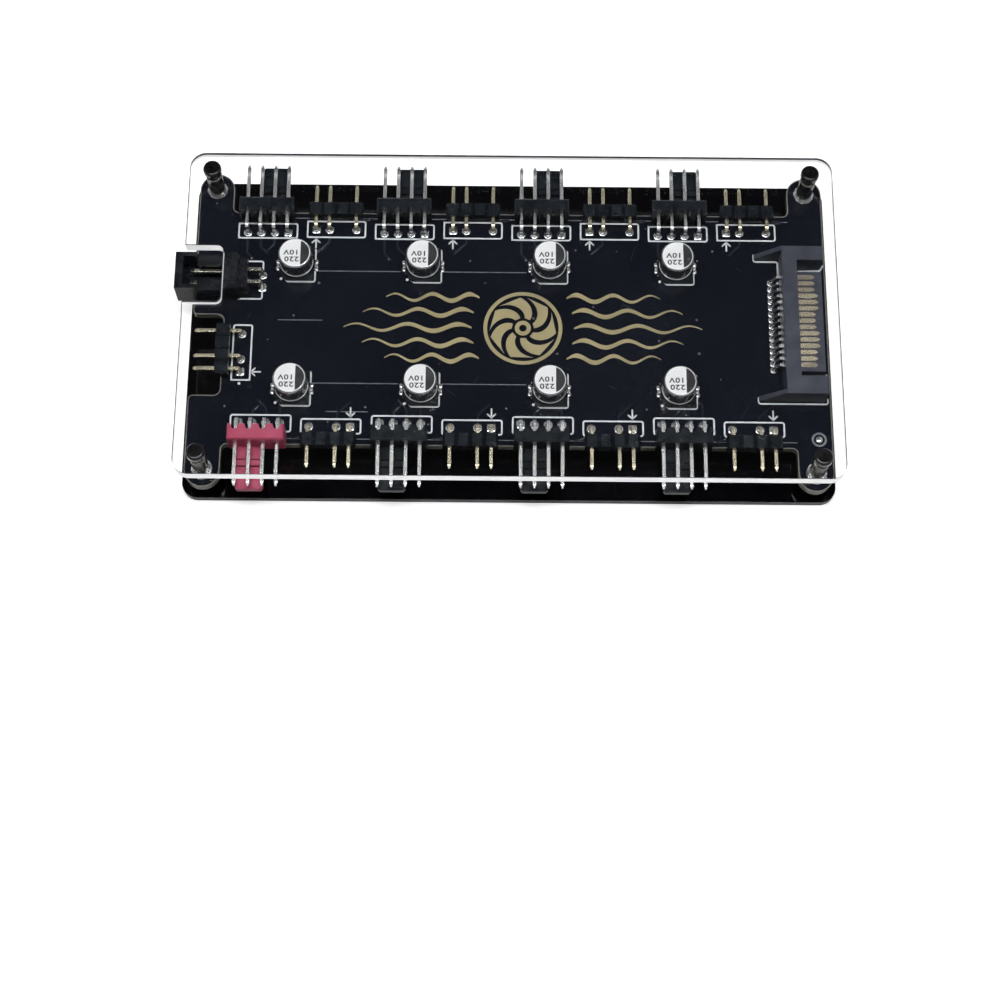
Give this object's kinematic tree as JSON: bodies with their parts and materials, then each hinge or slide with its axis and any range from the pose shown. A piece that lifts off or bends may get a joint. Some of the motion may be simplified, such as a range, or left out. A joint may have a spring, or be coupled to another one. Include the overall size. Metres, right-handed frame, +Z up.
{
  "type": "fan controller hub",
  "caption": "Flat fan hub: a black circuit board with rows of pin ports, capacitors and a power inlet, on posts between a black base plate and a clear notched cover.",
  "frame": {"origin": "centre of the base plate's underside", "axes": "+X along the rows of ports towards the power inlet, +Y towards the rear row, +Z up through the cover"},
  "size_m": [0.1231, 0.065, 0.0159],
  "materials": {
    "black_acrylic": "polished black sheet",
    "clear_acrylic": "polished clear sheet with cut edges",
    "board": "black solder mask on glass-fibre board",
    "nickel": "nickel-plated brass posts",
    "black_nylon": "black nylon spacers",
    "black_steel": "black-oxide steel screws",
    "port_black": "moulded black plastic",
    "port_pink": "moulded magenta plastic",
    "inlet_grey": "moulded dark grey plastic",
    "tin": "tin-plated pins",
    "gold": "thin gold plating",
    "can": "drawn aluminium cans",
    "solder": "bright solder"
  },
  "bodies": {
    "root": {"base_plate": "black_acrylic", "base_spacers": "black_nylon", "cover_standoffs": "nickel", "base_screws": "black_steel", "cover_screws": "black_steel", "circuit_board": "board", "cover_plate": "clear_acrylic", "fan_header_1_housing": "port_black", "fan_header_1_pins": "tin", "fan_header_2_housing": "port_black", "fan_header_2_pins": "tin", "fan_header_3_housing": "port_black", "fan_header_3_pins": "tin", "fan_header_4_housing": "port_black", "fan_header_4_pins": "tin", "fan_header_5_housing": "port_pink", "fan_header_5_pins": "tin", "fan_header_6_housing": "port_black", "fan_header_6_pins": "tin", "fan_header_7_housing": "port_black", "fan_header_7_pins": "tin", "fan_header_8_housing": "port_black", "fan_header_8_pins": "tin", "led_header_1_housing": "port_black", "led_header_1_pins": "gold", "led_header_2_housing": "port_black", "led_header_2_pins": "gold", "led_header_3_housing": "port_black", "led_header_3_pins": "gold", "led_header_4_housing": "port_black", "led_header_4_pins": "gold", "led_header_5_housing": "port_black", "led_header_5_pins": "gold", "led_header_6_housing": "port_black", "led_header_6_pins": "gold", "led_header_7_housing": "port_black", "led_header_7_pins": "gold", "led_header_8_housing": "port_black", "led_header_8_pins": "gold", "led_input_housing": "port_black", "led_input_pins": "gold", "pwm_input_housing": "port_black", "pwm_input_pins": "tin", "power_inlet_housing": "inlet_grey", "power_inlet_contacts": "gold", "capacitor_1_can": "can", "capacitor_2_can": "can", "capacitor_3_can": "can", "capacitor_4_can": "can", "capacitor_5_can": "can", "capacitor_6_can": "can", "capacitor_7_can": "can", "capacitor_8_can": "can", "capacitor_seats": "port_black", "capacitor_leads": "tin", "solder_joints": "solder"}
  },
  "joints": []
}
